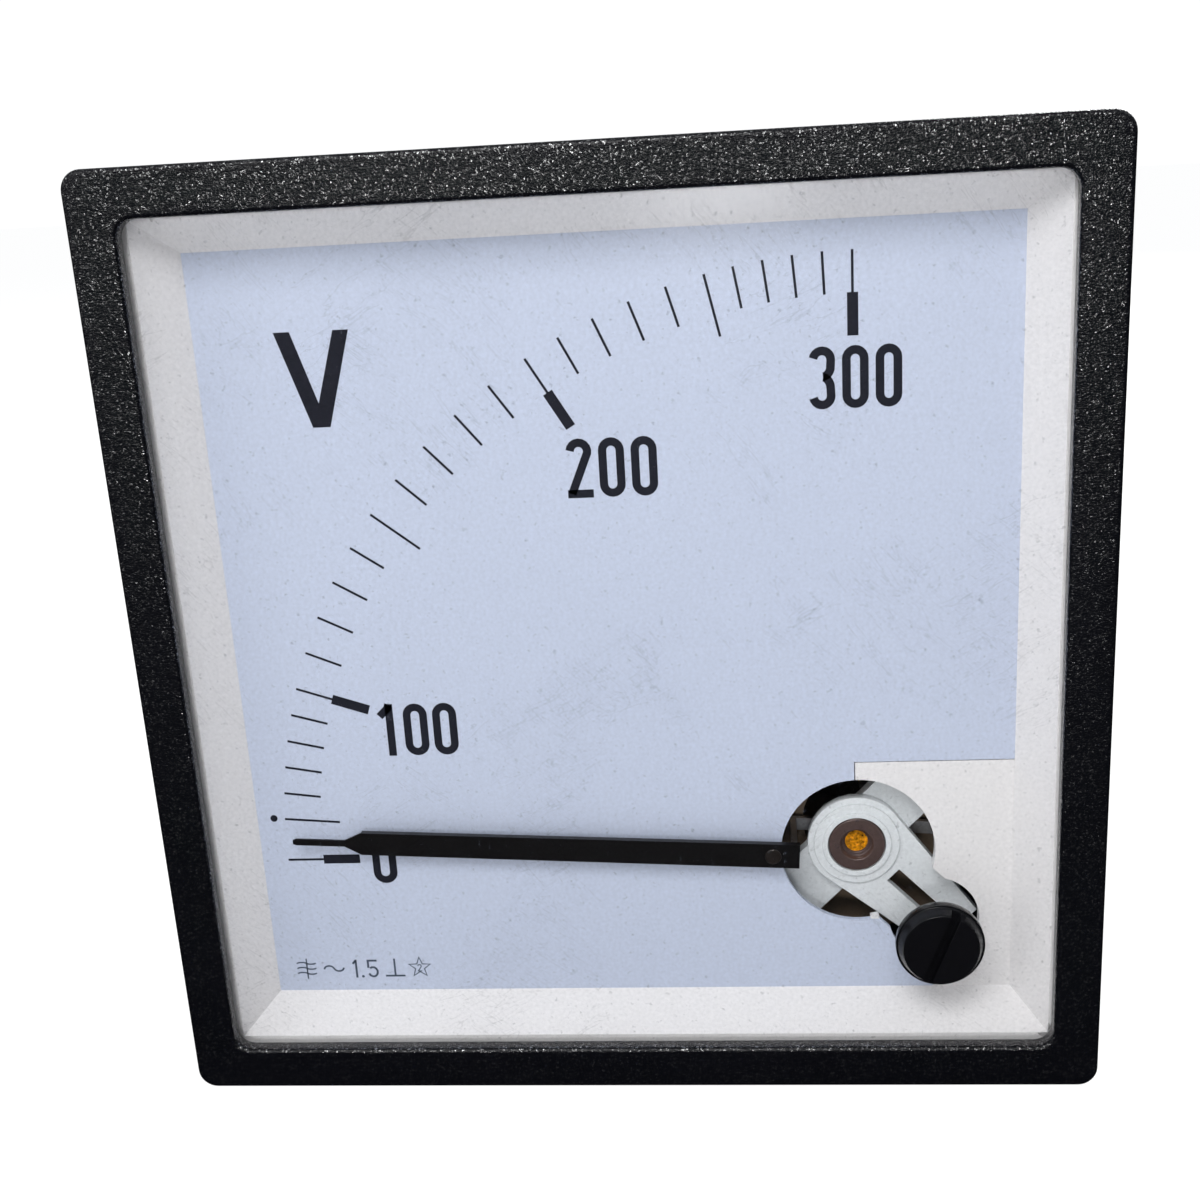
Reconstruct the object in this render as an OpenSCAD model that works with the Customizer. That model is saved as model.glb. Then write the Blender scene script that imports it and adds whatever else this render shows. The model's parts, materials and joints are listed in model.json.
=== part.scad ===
// Analog AC voltmeter for panel mounting, 96 x 96 mm front, quarter-circle scale.
// A moving-iron movement sits in the lower right corner behind the window.
// X is to the right, Y points into the panel, Z is up.
// The origin is on the rear face of the front frame, at the centre of the panel cut-out.

/* [Front frame] */
// Width and height of the square front frame
frame_w = 96; // [95:0.5:98]
// Depth of the frame in front of the panel
frame_t = 5.5; // [5:0.1:7]
// Radius of the frame's outer corners
frame_corner_r = 2; // [1:0.25:3]
// Width of the frame's bars round the opening
bar_w = 4.6; // [4.4:0.1:5]
// Radius of the opening's corners
opening_corner_r = 1.8; // [1:0.2:2.4]
// Depth of the lip in front of the window
lip_t = 1.6; // [1.2:0.1:1.8]

/* [Window] */
// Thickness of the clear window pane
pane_t = 1.2; // [1:0.1:1.4]
// How far the pane reaches behind the lip on each side
pane_overlap = 0.9; // [0.6:0.1:1.2]

/* [Dial] */
// Depth of the dial face behind the front of the frame
dial_depth = 6.7; // [6.5:0.1:7]
// Width of the surround's slope from the opening in to the dial field
slope_run = 3.5; // [3.3:0.1:3.7]
// Thickness of the dial sheet
dial_t = 0.6; // [0.4:0.1:0.8]
// Distance of the pointer axis from the right and bottom edges of the dial field
pivot_inset = 15.9; // [15.6:0.1:16.4]
// Radius of the hole in the dial round the movement hub
hub_hole_r = 8; // [7.8:0.1:8.4]
// Height of the corner pad's top edge above the pointer axis
pad_rise = 9.9; // [9:0.1:11]
// Half width of the diagonal slot over the zero lever
lever_window_half = 4; // [3.9:0.1:4.4]

/* [Pointer] */
// Angle of the pointer at rest, counted from the right-hand side
pointer_rest_deg = 177.2; // [175:0.1:180]
// Depth of the pointer's face behind the front of the frame
pointer_depth = 4.8; // [4.6:0.1:5.2]
// Gap between the tip of the pointer and the left edge of the dial field
pointer_tip_gap = 4.1; // [3:0.1:6]
// Length of the narrow blade at the tip
pointer_blade_len = 7.4; // [6:0.1:9]
// Distance from the axis to the inner end of the bar
pointer_inner_r = 6.1; // [6:0.1:6.4]
// Width of the broad bar
pointer_bar_w = 2.5; // [2:0.1:3]
// Width of the blade at the tip
pointer_tip_w = 0.7; // [0.5:0.1:1]
// Thickness of the pointer sheet
pointer_t = 0.25; // [0.2:0.05:0.35]

/* [Zero adjuster] */
// Distance of the adjuster right of and below the pointer axis
adjuster_off = 7.9; // [7.7:0.1:8.1]
// Radius of the adjuster's flange
adjuster_flange_r = 4.5; // [4:0.1:4.8]
// Radius of the adjuster's front face
adjuster_face_r = 3.8; // [3.4:0.1:3.9]
// Radius of the shaft in the window pane
adjuster_shaft_r = 2; // [1.8:0.1:2.2]
// Height of the adjuster above the window
adjuster_h = 2; // [1.6:0.1:2.4]
// Angle of the screwdriver slot from the upright
adjuster_slot_deg = 22; // [0:1:45]
// Distance of the eccentric pin from the adjuster's axis
pin_throw = 1.2; // [1:0.05:1.3]
// Radius of the eccentric pin
pin_r = 0.8; // [0.7:0.05:0.9]

/* [Movement] */
// Radius of the zero lever's ring
hub_ring_r = 5.15; // [5:0.05:5.3]
// Radius of the front bearing screw's head
bearing_head_r = 2.95; // [2.8:0.05:3]
// Radius of the spindle
spindle_r = 0.6; // [0.5:0.05:0.7]
// Radius of the spindle's pivots
pivot_r = 0.3; // [0.25:0.05:0.35]
// Half width of the bearing bridge
bridge_half_w = 3.1; // [2.9:0.1:3.2]
// Distance of the bridge screws from the axis
bridge_screw_r = 11.2; // [11:0.1:11.6]
// Outer radius of the bobbin's flanges
bobbin_r = 13.5; // [13.3:0.1:14]
// Length of the bobbin
bobbin_len = 19; // [17:0.5:20]
// Outer radius of the copper winding
winding_r = 12.4; // [11:0.1:12.8]
// Number of turns of the hairspring
hairspring_turns = 4; // [3:1:5]

/* [Housing] */
// How far the housing's sides lie outside the opening
housing_lap = 2; // [1.8:0.1:2.2]
// Step in from the housing's front end to its waist at each side
waist_step = 3.4; // [3:0.1:3.6]
// Depth of the housing behind the panel face
housing_d = 48; // [47:0.5:52]
// Wall thickness of the housing
wall = 2; // [1.8:0.1:2.2]

/* [Terminals] */
// Distance between the two terminal studs
stud_pitch = 32; // [28:1:36]
// Height of the studs above the centre
stud_z = 14; // [12:1:16]
// Radius of the terminal studs
stud_r = 2; // [1.9:0.05:2.1]
// Length of the studs behind the housing
stud_out = 14; // [13:0.5:16]

/* [Clamps] */
// Distance of the clamp screws outside the housing's front end
clamp_out = 2.2; // [2.1:0.1:2.5]
// Radius of the clamp screws
clamp_screw_r = 1.95; // [1.8:0.05:2]
// Gap between the panel face and the feet of the clamp screws
clamp_gap = 8.5; // [6:0.5:10]
// Length of the clamp screws behind their feet
clamp_screw_len = 42.5; // [42.5:0.5:46]

/* [Hidden] */
$fn = 96;
fit = 0.05;
ease = 0.1;
opening_w = frame_w - 2 * bar_w;
housing_w = opening_w + 2 * housing_lap;
waist_w = housing_w - 2 * waist_step;
clamp_x = housing_w / 2 + clamp_out;
dial_field_w = opening_w - 2 * slope_run;
pivot_off = dial_field_w / 2 - pivot_inset;
pad_left = pivot_off - 0.2;
pad_top = pivot_off - pad_rise;
pointer_tip_r = pivot_off + dial_field_w / 2 - pointer_tip_gap;
pointer_bar_r = pointer_tip_r - pointer_blade_len;
far = frame_w;
front = -frame_t;
lip_back = front + lip_t;
pane_back = lip_back + pane_t;
dial_y = front + dial_depth;
dial_back = dial_y + dial_t;
pane_half = opening_w / 2 + pane_overlap;
bay_half = housing_w / 2 + ease;
rebate_half = housing_w / 2 - 1.1;
mask_half = rebate_half - ease;
mask_t = 1.4;
dial_half = mask_half - 0.3;
field_half = dial_field_w / 2;
rim_half = opening_w / 2 - 0.1;
clip_y = front + 4;
clip_len = 10;
clip_h = 0.5;
adj_off = pivot_off + adjuster_off;
adj_reach = adjuster_off * sqrt(2);
lever_front = front + 8.4;
lever_back = front + 9.9;
bridge_front = lever_back;
bridge_t = 1.6;
bridge_back = bridge_front + bridge_t;
spring_y = bridge_back + 0.5;
spring_h = 0.7;
carrier_y = bridge_back + 1.7;
carrier_t = 0.6;
bobbin_y = carrier_y + carrier_t + 1.2;
bobbin_back = bobbin_y + bobbin_len;
flange_t = 1.2;
core_r = 6.5;
bore_r = 5.5;
plate_y = bobbin_back;
plate_t = 1.5;
plate_back = plate_y + plate_t;
floor_t = 2.2;
floor_y = housing_d - floor_t;
boss_off = 12;
jewel_r = 1.2;
jewel_len = 2;
recess_r = 1.68;
shoulder_r = 2.2;
thread_r = 1.6;
front_jewel_y = front + 9.3;
spindle_front = front_jewel_y + jewel_len + 0.1;
rear_jewel_y = plate_y - 1.5;
spindle_back = rear_jewel_y - 0.1;
fork_half = pin_r + ease;
post_at = 4.4;
post_r = 0.5;
collet_r = 1.1;
riser_r = pointer_inner_r + 0.5;
rivet_r = pointer_inner_r + 2.75;
rivet_shank_r = 0.5;
weight_at = 11.2;
weight_r = 1.916;
weight_h = 2.6;
clamp_foot_y = clamp_gap;
bracket_t = 1.2;
bracket_y0 = 20;
bracket_y1 = 42;
bracket_half = 9;
lug_y = 33;
lug_z = 5.5;
lug_r = 1.5;
boss_r = 3.2;
nut_r = 4.05;
nut_h = 3.2;
washer_t = 0.8;
stud_core_r = stud_r - 0.35;
stud_free_y = housing_d + 1.2 + washer_t + nut_h + 0.5;
resistor_r = 4;
resistor_len = 24;
resistor_z = 31;
resistor_y = floor_y - resistor_r - 1.2;
tag_r = 9.6;

// Extrudes a shape drawn in X and Z from y0 back to y1.
module slab(y0, y1) {
  translate([0, y1, 0])
    rotate([90, 0, 0])
      linear_extrude(y1 - y0)
        children();
}

// Round bar along Y.
module rod(r, y0, y1) {
  translate([0, y1, 0])
    rotate([90, 0, 0])
      cylinder(h = y1 - y0, r = r);
}

// Cone along Y.
module taper(r0, r1, y0, y1) {
  translate([0, y0, 0])
    rotate([-90, 0, 0])
      cylinder(h = y1 - y0, r1 = r0, r2 = r1);
}

// Flat square with rounded corners, half its width given.
module rounded(half, r) {
  square([2 * half, 2 * (half - r)], center = true);
  square([2 * (half - r), 2 * half], center = true);
  for (a = [0 : 90 : 270])
    rotate(a)
      translate([half - r, half - r])
        circle(r);
}

// Turns a piece drawn along +X to an angle counted from +X up to +Z.
module turned(a) {
  rotate([0, -a, 0])
    children();
}

module at_pivot() {
  translate([pivot_off, 0, -pivot_off])
    children();
}

module at_adjuster() {
  translate([adj_off, 0, -adj_off])
    children();
}

// Four equal mitred sides of a square surround, drawn as [distance out, depth].
module mitred(profile) {
  for (a = [0 : 90 : 270])
    rotate([0, a, 0])
      intersection() {
        translate([0, 0, -far])
          linear_extrude(2 * far)
            polygon(profile);
        slab(-far, far)
          polygon([[0, 0], [far, far], [far, -far]]);
      }
}

// Insulated wire laid in straight runs along the axes; each step is [axis, length].
module wire(start, steps, r, i = 0) {
  if (i < len(steps)) {
    k = steps[i][0];
    l = steps[i][1];
    turn = k == 0 ? [0, 90, 0] : k == 1 ? [-90, 0, 0] : [0, 0, 0];
    translate(start)
      rotate(turn)
        translate([0, 0, min(l, 0) - r])
          cylinder(h = abs(l) + 2 * r, r = r, $fn = 24);
    wire([for (n = [0 : 2]) n == k ? start[n] + l : start[n]], steps, r, i + 1);
  }
}

// Square front frame with a lip over the window and snap ridges inside.
module bezel_frame() {
  color([0.09, 0.09, 0.1])
  difference() {
    slab(front, 0)
      rounded(frame_w / 2, frame_corner_r);
    slab(front - 1, lip_back + 0.01)
      rounded(opening_w / 2, opening_corner_r);
    slab(lip_back, pane_back)
      rounded(pane_half + ease, 1);
    difference() {
      slab(pane_back, 1)
        rounded(bay_half, 1);
      for (a = [0 : 90 : 270])
        rotate([0, a, 0])
          for (s = [-25, 25])
            translate([bay_half - clip_h, clip_y, s - clip_len / 2])
              cube([clip_h + 1, 0.8, clip_len]);
    }
  }
}

// Clear pane with the hole for the zero adjuster.
module window_pane() {
  color([0.85, 0.9, 0.92, 0.25])
  difference() {
    slab(lip_back, pane_back)
      rounded(pane_half, 1);
    at_adjuster()
      rod(adjuster_shaft_r + fit, lip_back - 1, pane_back + 1);
  }
}

// Outline of everything cut away round the hub and over the zero lever.
module hub_cut() {
  translate([pivot_off, -pivot_off])
    circle(hub_hole_r);
  translate([pivot_off, -pivot_off])
    rotate(-45)
      translate([0, -lever_window_half])
        square([adj_reach, 2 * lever_window_half]);
  translate([adj_off, -adj_off])
    circle(lever_window_half + 0.7);
}

// Lower right corner that the surround covers instead of the dial sheet.
module pad_area(gap) {
  difference() {
    translate([pad_left + gap, -far])
      square([far, far - pad_top - gap]);
    translate([-far, -far])
      square([far + adj_off + gap, far - adj_off]);
  }
}

// Cream surround with mitred slopes and the pad round the movement corner.
module dial_surround() {
  color([0.86, 0.85, 0.84])
  union() {
    mitred([[field_half, dial_y], [rim_half, pane_back],
      [mask_half, pane_back], [mask_half, dial_y],
      [mask_half - 1.2, dial_y], [mask_half - 1.2, dial_y - mask_t],
      [field_half + mask_t, dial_y]]);
    difference() {
      slab(dial_y, dial_y + mask_t)
        intersection() {
          pad_area(0);
          square(2 * (dial_half - 1), center = true);
        }
      slab(dial_y - 1, dial_y + mask_t + 1)
        hub_cut();
    }
  }
}

// Thin dial sheet under the surround; the scale is printed on it.
module dial_plate() {
  color([0.72, 0.77, 0.86])
  slab(dial_y, dial_back)
    difference() {
      square(2 * dial_half, center = true);
      pad_area(-ease);
      hub_cut();
    }
}

// Bar profile of the pointer seen from the front.
module pointer_outline() {
  w = pointer_bar_w / 2;
  t = pointer_tip_w / 2;
  polygon([[pointer_inner_r, -w - 0.08], [pointer_bar_r, -w],
    [pointer_bar_r + 1.8, -t], [pointer_tip_r - 0.3, -t],
    [pointer_tip_r, -t * 0.6], [pointer_tip_r, t * 0.6],
    [pointer_tip_r - 0.3, t], [pointer_bar_r + 1.8, t],
    [pointer_bar_r, w], [pointer_inner_r, w + 0.08]]);
}

// Black aluminium pointer, a flat strip with two folded edges.
module pointer() {
  y0 = front + pointer_depth;
  color([0.06, 0.06, 0.07])
  at_pivot()
    turned(pointer_rest_deg)
      union() {
        difference() {
          slab(y0, y0 + pointer_t)
            pointer_outline();
          translate([rivet_r, 0, 0])
            rod(rivet_shank_r + fit, y0 - 1, y0 + 1);
        }
        for (s = [-1, 1])
          slab(y0, y0 + 0.7)
            polygon([[pointer_inner_r, s * (pointer_bar_w / 2 + 0.08)],
              [pointer_bar_r, s * pointer_bar_w / 2],
              [pointer_bar_r, s * (pointer_bar_w / 2 - pointer_t)],
              [pointer_inner_r, s * (pointer_bar_w / 2 + 0.08 - pointer_t)]]);
      }
}

// Rivet that holds the pointer to its carrier.
module pointer_rivet() {
  y0 = front + pointer_depth;
  color([0.62, 0.55, 0.48])
  at_pivot()
    turned(pointer_rest_deg)
      translate([rivet_r, 0, 0])
        union() {
          rod(0.85, y0 - 0.25, y0);
          rod(rivet_shank_r, y0 - 0.1, y0 + pointer_t + 0.5);
        }
}

// Aluminium carrier: hub on the spindle, arm out to the pointer, tail for the weight.
module pointer_carrier() {
  foot_y = front + pointer_depth + pointer_t;
  color([0.7, 0.71, 0.72])
  at_pivot()
    turned(pointer_rest_deg)
      difference() {
        union() {
          rod(1.6, carrier_y, carrier_y + carrier_t + 0.6);
          slab(carrier_y, carrier_y + carrier_t)
            translate([-weight_at, -0.7])
              square([weight_at + riser_r + 0.3, 1.4]);
          slab(foot_y, carrier_y + carrier_t)
            translate([riser_r - 0.3, -0.7])
              square([0.6, 1.4]);
          slab(foot_y, foot_y + 0.4)
            translate([riser_r - 0.3, -0.7])
              square([rivet_r + 1.1 - riser_r, 1.4]);
          slab(carrier_y, carrier_y + carrier_t)
            translate([-weight_at, 0])
              circle(1.2);
        }
        translate([rivet_r, 0, 0])
          rod(rivet_shank_r + fit, foot_y - 1, foot_y + 1);
        translate([-weight_at, 0, 0])
          rod(0.6 + fit, carrier_y - 1, carrier_y + 2);
        rod(spindle_r + 0.02, carrier_y - 1, carrier_y + 3);
      }
}

// Brass balance weight in front of the carrier's tail.
module balance_weight() {
  color([0.75, 0.6, 0.3])
  at_pivot()
    turned(pointer_rest_deg)
      translate([-weight_at, 0, 0])
        union() {
          rod(weight_r, carrier_y - weight_h, carrier_y);
          rod(0.6, carrier_y - 0.1, carrier_y + carrier_t);
        }
}

// Steel spindle with a thin pivot at each end.
module spindle() {
  color([0.6, 0.6, 0.62])
  at_pivot()
    union() {
      rod(spindle_r, spindle_front, spindle_back);
      rod(pivot_r, spindle_front - 0.8, spindle_front + 0.1);
      rod(pivot_r, spindle_back - 0.1, spindle_back + 0.8);
    }
}

// Curved sheet of soft iron on the spindle.
module moving_iron() {
  color([0.45, 0.45, 0.47])
  at_pivot()
    turned(pointer_rest_deg + 180)
      difference() {
        union() {
          rotate([-90, 0, 0])
            translate([0, 0, bobbin_y + 4])
              rotate([0, 0, -38])
                rotate_extrude(angle = 76)
                  translate([3.4, 0])
                    square([0.4, 11]);
          translate([0, bobbin_y + 8, -0.2])
            cube([3.6, 3, 0.4]);
          rod(1.2, bobbin_y + 8, bobbin_y + 11);
        }
        rod(spindle_r + 0.02, bobbin_y, bobbin_back);
      }
}

// Flat spiral spring from the collet on the spindle to the zero lever's post.
module hairspring() {
  n = hairspring_turns * 40;
  r0 = collet_r - 0.05;
  r1 = post_at - post_r - 0.13;
  color([0.7, 0.58, 0.35])
  at_pivot()
    turned(-45)
      union() {
        slab(spring_y, spring_y + spring_h)
          polygon(concat(
            [for (i = [0 : n]) (r0 + (r1 - r0) * i / n)
              * [cos(i * 9), sin(i * 9)]],
            [for (i = [n : -1 : 0]) (r0 + (r1 - r0) * i / n + 0.12)
              * [cos(i * 9), sin(i * 9)]]));
        difference() {
          rod(collet_r, spring_y, spring_y + spring_h);
          rod(spindle_r + 0.02, spring_y - 1, spring_y + 2);
        }
      }
}

// Black plastic adjuster: slotted head, shaft through the pane, eccentric pin.
module zero_adjuster() {
  color([0.03, 0.03, 0.04])
  at_adjuster()
    difference() {
      union() {
        rod(adjuster_flange_r, lip_back - 0.9, lip_back);
        taper(adjuster_face_r, adjuster_flange_r - 0.15,
          lip_back - adjuster_h, lip_back - 0.85);
        rod(adjuster_shaft_r, lip_back - 0.1, pane_back + 0.2);
        rod(adjuster_shaft_r + 0.5, pane_back + 0.1, pane_back + 1.6);
        turned(-45)
          translate([pin_throw, 0, 0])
            rod(pin_r, pane_back, lever_back + 0.2);
      }
      turned(90 - adjuster_slot_deg)
        translate([-10, lip_back - adjuster_h - 1, -0.5])
          cube([20, 1.9, 1]);
    }
}

// White plastic zero lever: stepped ring and forked arm, with the spring post.
module zero_lever() {
  color([0.82, 0.84, 0.84])
  at_pivot()
    turned(-45)
      difference() {
        union() {
          rod(hub_ring_r, lever_front + 0.3, lever_back);
          rod(hub_ring_r - 0.65, lever_front, lever_back);
          rod(hub_ring_r - 1.55, lever_front - 0.25, lever_back);
          slab(lever_front + 0.3, lever_back)
            polygon([[0.6, -hub_ring_r + 0.05], [adj_reach + 3.4, -3.3],
              [adj_reach + 3.4, 3.3], [0.6, hub_ring_r - 0.05]]);
          translate([post_at, 0, 0])
            rod(post_r, lever_back - 0.2, spring_y + spring_h);
        }
        rod(bearing_head_r + 0.1, lever_front - 1, lever_front + 0.8);
        rod(shoulder_r + fit, lever_front, lever_back + 1);
        slab(lever_front - 1, lever_back + 1)
          translate([hub_ring_r + 0.25, -fork_half])
            square([20, 2 * fork_half]);
      }
}

// Bearing screw whose head clamps the zero lever and whose bore holds the jewel.
module front_bearing_screw() {
  head_y = lever_front - 0.2;
  color([0.36, 0.27, 0.25])
  at_pivot()
    difference() {
      union() {
        rod(bearing_head_r, head_y, head_y + 1);
        rod(shoulder_r, head_y + 0.9, lever_back);
        rod(thread_r, lever_back - 0.1, bridge_back + 0.2);
      }
      rod(recess_r, head_y - 1, head_y + 0.9);
      rod(jewel_r, head_y, bridge_back + 1);
    }
}

// Amber jewel with the blind bore for the spindle's front pivot.
module front_jewel() {
  color([0.85, 0.55, 0.05])
  at_pivot()
    difference() {
      rod(jewel_r, front_jewel_y, front_jewel_y + jewel_len);
      rod(pivot_r + fit, front_jewel_y + 1.1, front_jewel_y + 3);
    }
}

// White bridge across the movement that carries the front bearing.
module bearing_bridge() {
  reach = bridge_screw_r + 2.8;
  color([0.84, 0.86, 0.86])
  at_pivot()
    turned(45)
      difference() {
        slab(bridge_front, bridge_back)
          union() {
            square([2 * (reach - 3), 2 * bridge_half_w], center = true);
            for (s = [-1, 1])
              translate([s * (reach - bridge_half_w), 0])
                circle(bridge_half_w);
          }
        rod(thread_r + fit, bridge_front - 1, bridge_back + 1);
        for (s = [-1, 1])
          translate([s * bridge_screw_r, 0, 0])
            rod(1.15, bridge_front - 1, bridge_back + 1);
      }
}

// Two cheese head screws that hold the bridge on its posts.
module bridge_screws() {
  color([0.7, 0.7, 0.72])
  at_pivot()
    turned(45)
      for (s = [-1, 1])
        translate([s * bridge_screw_r, 0, 0])
          difference() {
            union() {
              rod(1.9, bridge_front - 1.3, bridge_front);
              rod(0.95, bridge_front - 0.1, bridge_back + 3.4);
            }
            translate([-5, bridge_front - 2, -0.3])
              cube([10, 1.3, 0.6]);
          }
}

// Plastic bobbin: core, two flanges, two posts for the bridge, rear pegs.
module coil_bobbin() {
  color([0.5, 0.44, 0.36])
  at_pivot()
    difference() {
      union() {
        rod(core_r, bobbin_y, bobbin_back);
        rod(bobbin_r, bobbin_y, bobbin_y + flange_t);
        rod(bobbin_r, bobbin_back - flange_t, bobbin_back);
        turned(45)
          for (s = [-1, 1])
            translate([s * bridge_screw_r, 0, 0]) {
              rod(2.2, bridge_back, bobbin_y + 0.5);
              rod(1.2, bobbin_back - 0.5, plate_back);
              rod(1.8, plate_back, plate_back + 0.7);
            }
      }
      rod(bore_r, bobbin_y - 1, bobbin_back + 1);
      turned(45)
        for (s = [-1, 1])
          translate([s * bridge_screw_r, 0, 0])
            rod(1, bridge_back - 1, bobbin_y + 0.3);
      for (a = [120, 160])
        turned(a)
          translate([tag_r, 0, 0])
            rod(0.45, bobbin_y - 1, bobbin_y + flange_t + 1);
    }
}

// Enamelled copper winding between the flanges.
module coil_winding() {
  color([0.55, 0.3, 0.16])
  at_pivot()
    difference() {
      rod(winding_r, bobbin_y + flange_t, bobbin_back - flange_t);
      rod(core_r + 0.3, bobbin_y, bobbin_back);
    }
}

// Two tinned tags on the front flange where the coil's ends are soldered.
module coil_tags() {
  color([0.66, 0.52, 0.38])
  at_pivot()
    for (a = [120, 160])
      turned(a)
        translate([tag_r, 0, 0])
          union() {
            rod(0.42, bobbin_y - 0.2, bobbin_y + flange_t);
            slab(bobbin_y - 0.4, bobbin_y)
              translate([-2.6, -0.9])
                square([3.6, 1.8]);
          }
}

// Fixed soft iron sheet in the bobbin's bore.
module fixed_iron() {
  color([0.45, 0.45, 0.47])
  at_pivot()
    turned(75)
      union() {
        rotate([-90, 0, 0])
          translate([0, 0, bobbin_y + 3])
            rotate([0, 0, -45])
              rotate_extrude(angle = 90)
                translate([4.7, 0])
                  square([0.45, bobbin_len - 3]);
        slab(bobbin_back - 0.4, bobbin_back)
          translate([4.8, -1])
            square([0.5, 2]);
      }
}

// Slotted screw in the mounting plate that carries the rear jewel.
module rear_bearing_screw() {
  color([0.72, 0.6, 0.34])
  at_pivot()
    difference() {
      union() {
        rod(2, rear_jewel_y, plate_back);
        rod(3.2, plate_back, plate_back + 1.6);
      }
      rod(jewel_r, rear_jewel_y - 1, rear_jewel_y + jewel_len);
      translate([-5, plate_back + 0.8, -0.4])
        cube([10, 2, 0.8]);
    }
}

// Rear jewel with the bore for the spindle's rear pivot.
module rear_jewel() {
  color([0.85, 0.55, 0.05])
  at_pivot()
    difference() {
      rod(jewel_r, rear_jewel_y, rear_jewel_y + jewel_len);
      rod(pivot_r + fit, rear_jewel_y - 1, rear_jewel_y + 0.9);
    }
}

// Steel plate that carries the whole movement in the housing.
module mounting_plate() {
  h = boss_off + 3;
  color([0.62, 0.63, 0.65])
  at_pivot()
    difference() {
      slab(plate_y, plate_back)
        rounded(h, 2);
      rod(2 + fit, plate_y - 1, plate_back + 1);
      turned(45)
        for (s = [-1, 1])
          translate([s * bridge_screw_r, 0, 0])
            rod(1.2 + ease, plate_y - 1, plate_back + 1);
      for (s = [-1, 1])
        translate([s * boss_off, 0, -s * boss_off])
          rod(1.6, plate_y - 1, plate_back + 1);
    }
}

// Two screws through the plate into the housing's pillars.
module plate_screws() {
  color([0.7, 0.7, 0.72])
  at_pivot()
    for (s = [-1, 1])
      translate([s * boss_off, 0, -s * boss_off])
        difference() {
          union() {
            rod(2.4, plate_y - 1.6, plate_y);
            rod(1.4, plate_y - 0.1, plate_back + 7);
          }
          translate([-5, plate_y - 2.6, -0.35])
            cube([10, 1.7, 0.7]);
        }
}

// Outline of the housing behind the panel: full height, waisted at the sides.
module housing_outline(inset) {
  square([waist_w - 2 * inset, housing_w - 2 * inset], center = true);
}

// Black plastic box: broad front end, waisted body, pillars, lugs and stud pads.
module housing() {
  front_end = dial_back + 2.6;
  color([0.1, 0.1, 0.11])
  difference() {
    union() {
      slab(pane_back, front_end)
        rounded(housing_w / 2, 1);
      slab(front_end - 0.1, housing_d)
        housing_outline(0);
      for (sx = [-1, 1])
        for (sz = [-1, 1])
          translate([sx * waist_w / 2, lug_y, sz * lug_z])
            rotate([0, sx * 90, 0])
              union() {
                translate([0, 0, -1])
                  cylinder(h = 1 + bracket_t + 0.1, r = lug_r);
                translate([0, 0, bracket_t + 0.1])
                  cylinder(h = 1, r = lug_r + 0.9);
              }
      for (s = [-1, 1])
        translate([s * stud_pitch / 2, 0, stud_z])
          rod(7, housing_d - 0.1, housing_d + 1.2);
    }
    difference() {
      union() {
        slab(pane_back - 1, dial_back)
          square(2 * rebate_half, center = true);
        slab(dial_back - 0.1, front_end - wall + 0.6)
          square(2 * (rebate_half - 0.9), center = true);
        slab(dial_back - 0.1, floor_y)
          housing_outline(wall);
      }
      at_pivot()
        for (s = [-1, 1])
          translate([s * boss_off, 0, -s * boss_off])
            difference() {
              rod(boss_r, plate_back, housing_d);
              rod(1.45, plate_back - 1, plate_back + 9);
            }
      for (s = [-1, 1])
        translate([s * 8 - 1, resistor_y - 1, resistor_z - resistor_r - 1.6])
          difference() {
            cube([2, floor_y - resistor_y + 2, 2 * resistor_r + 3.2]);
            translate([1, 1, resistor_r + 1.6])
              rotate([0, 90, 0])
                cylinder(h = 8, r = resistor_r + fit, center = true);
            translate([-1, -0.1, 1.7])
              cube([4, 1.2, 2 * resistor_r - 0.2]);
          }
    }
    for (a = [0 : 90 : 270])
      rotate([0, a, 0])
        for (s = [-25, 25])
          translate([housing_w / 2 - clip_h - 0.02, clip_y - ease, s - clip_len / 2 - 0.3])
            cube([2, 0.8 + 2 * ease, clip_len + 0.6]);
    for (s = [-1, 1])
      translate([s * stud_pitch / 2, 0, stud_z])
        rod(stud_r + ease, floor_y - 1, housing_d + 3);
  }
}

// Wirewound resistor in series with the coil, with its two end leads.
module series_resistor() {
  color([0.35, 0.5, 0.38])
  translate([0, resistor_y, resistor_z])
    rotate([0, 90, 0])
      union() {
        cylinder(h = resistor_len, r = resistor_r, center = true);
        cylinder(h = resistor_len + 8, r = 0.4, center = true);
      }
}

module wire_stud_resistor() {
  x = stud_pitch / 2;
  color([0.7, 0.12, 0.1])
  wire([-x, floor_y - 5.7, stud_z], [[2, 9], [1, resistor_y - floor_y + 5.7],
    [2, resistor_z - stud_z - 10.15]], 0.7);
}

module wire_resistor_coil() {
  x = stud_pitch / 2 - 1;
  tx = pivot_off + (tag_r - 1.5) * cos(120);
  tz = -pivot_off + (tag_r - 1.5) * sin(120);
  color([0.7, 0.12, 0.1])
  wire([x, resistor_y, resistor_z - 1.1], [[2, -6], [1, bobbin_y - 1 - resistor_y],
    [0, tx - x], [2, tz - resistor_z + 7.1]], 0.6);
}

module wire_coil_stud() {
  x = stud_pitch / 2;
  tx = pivot_off + (tag_r + 0.3) * cos(160);
  tz = -pivot_off + (tag_r + 0.3) * sin(160);
  color([0.12, 0.12, 0.13])
  wire([tx, bobbin_y - 1, tz], [[0, -6], [2, 17], [1, floor_y - 4.7 - bobbin_y],
    [2, stud_z - tz - 17], [0, x - tx + 6]], 0.6);
}

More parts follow.
